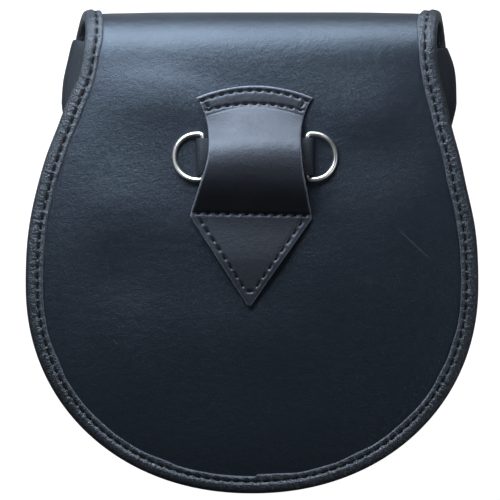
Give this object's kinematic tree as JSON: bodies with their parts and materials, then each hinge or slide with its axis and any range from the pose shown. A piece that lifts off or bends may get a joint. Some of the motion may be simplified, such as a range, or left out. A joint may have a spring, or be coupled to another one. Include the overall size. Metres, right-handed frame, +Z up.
{
  "type": "leather sporran pouch",
  "caption": "Round-bottomed leather belt pouch lying on its front flap, back up, with a bound edge, a pointed belt loop sewn to the back and a strap holding a ring at each side of it",
  "frame": {"origin": "middle of the bounding box's underside, on the surface that the flap lies on", "axes": "+X to the right of the back as it is seen, +Y towards the fold at the top of the pouch, +Z up, out of the back panel"},
  "size_m": [0.19, 0.2027, 0.0515],
  "materials": {
    "black_leather": "smooth, semi-gloss",
    "soft_black_leather": "soft, pebbled, matt",
    "loop_leather": "smooth, glossy",
    "polished_nickel": "polished"
  },
  "bodies": {
    "pouch": {"back_flap": "black_leather", "edge_binding": "soft_black_leather", "pouch_front": "black_leather", "gusset": "soft_black_leather", "belt_loop": "loop_leather", "ring_strap": "loop_leather", "press_stud": "polished_nickel"},
    "ring_left": {"d_ring_left": "polished_nickel"},
    "ring_right": {"d_ring_right": "polished_nickel"}
  },
  "joints": [
    {"name": "ring_left_swing", "type": "hinge", "parent": "pouch", "child": "ring_left", "pos_m": [-0.02041, 0.03989, 0.03925], "axis": [0, 1, 0], "range_deg": [0, 60]},
    {"name": "ring_right_swing", "type": "hinge", "parent": "pouch", "child": "ring_right", "pos_m": [0.0228, 0.03989, 0.03925], "axis": [0, -1, 0], "range_deg": [0, 80]}
  ]
}
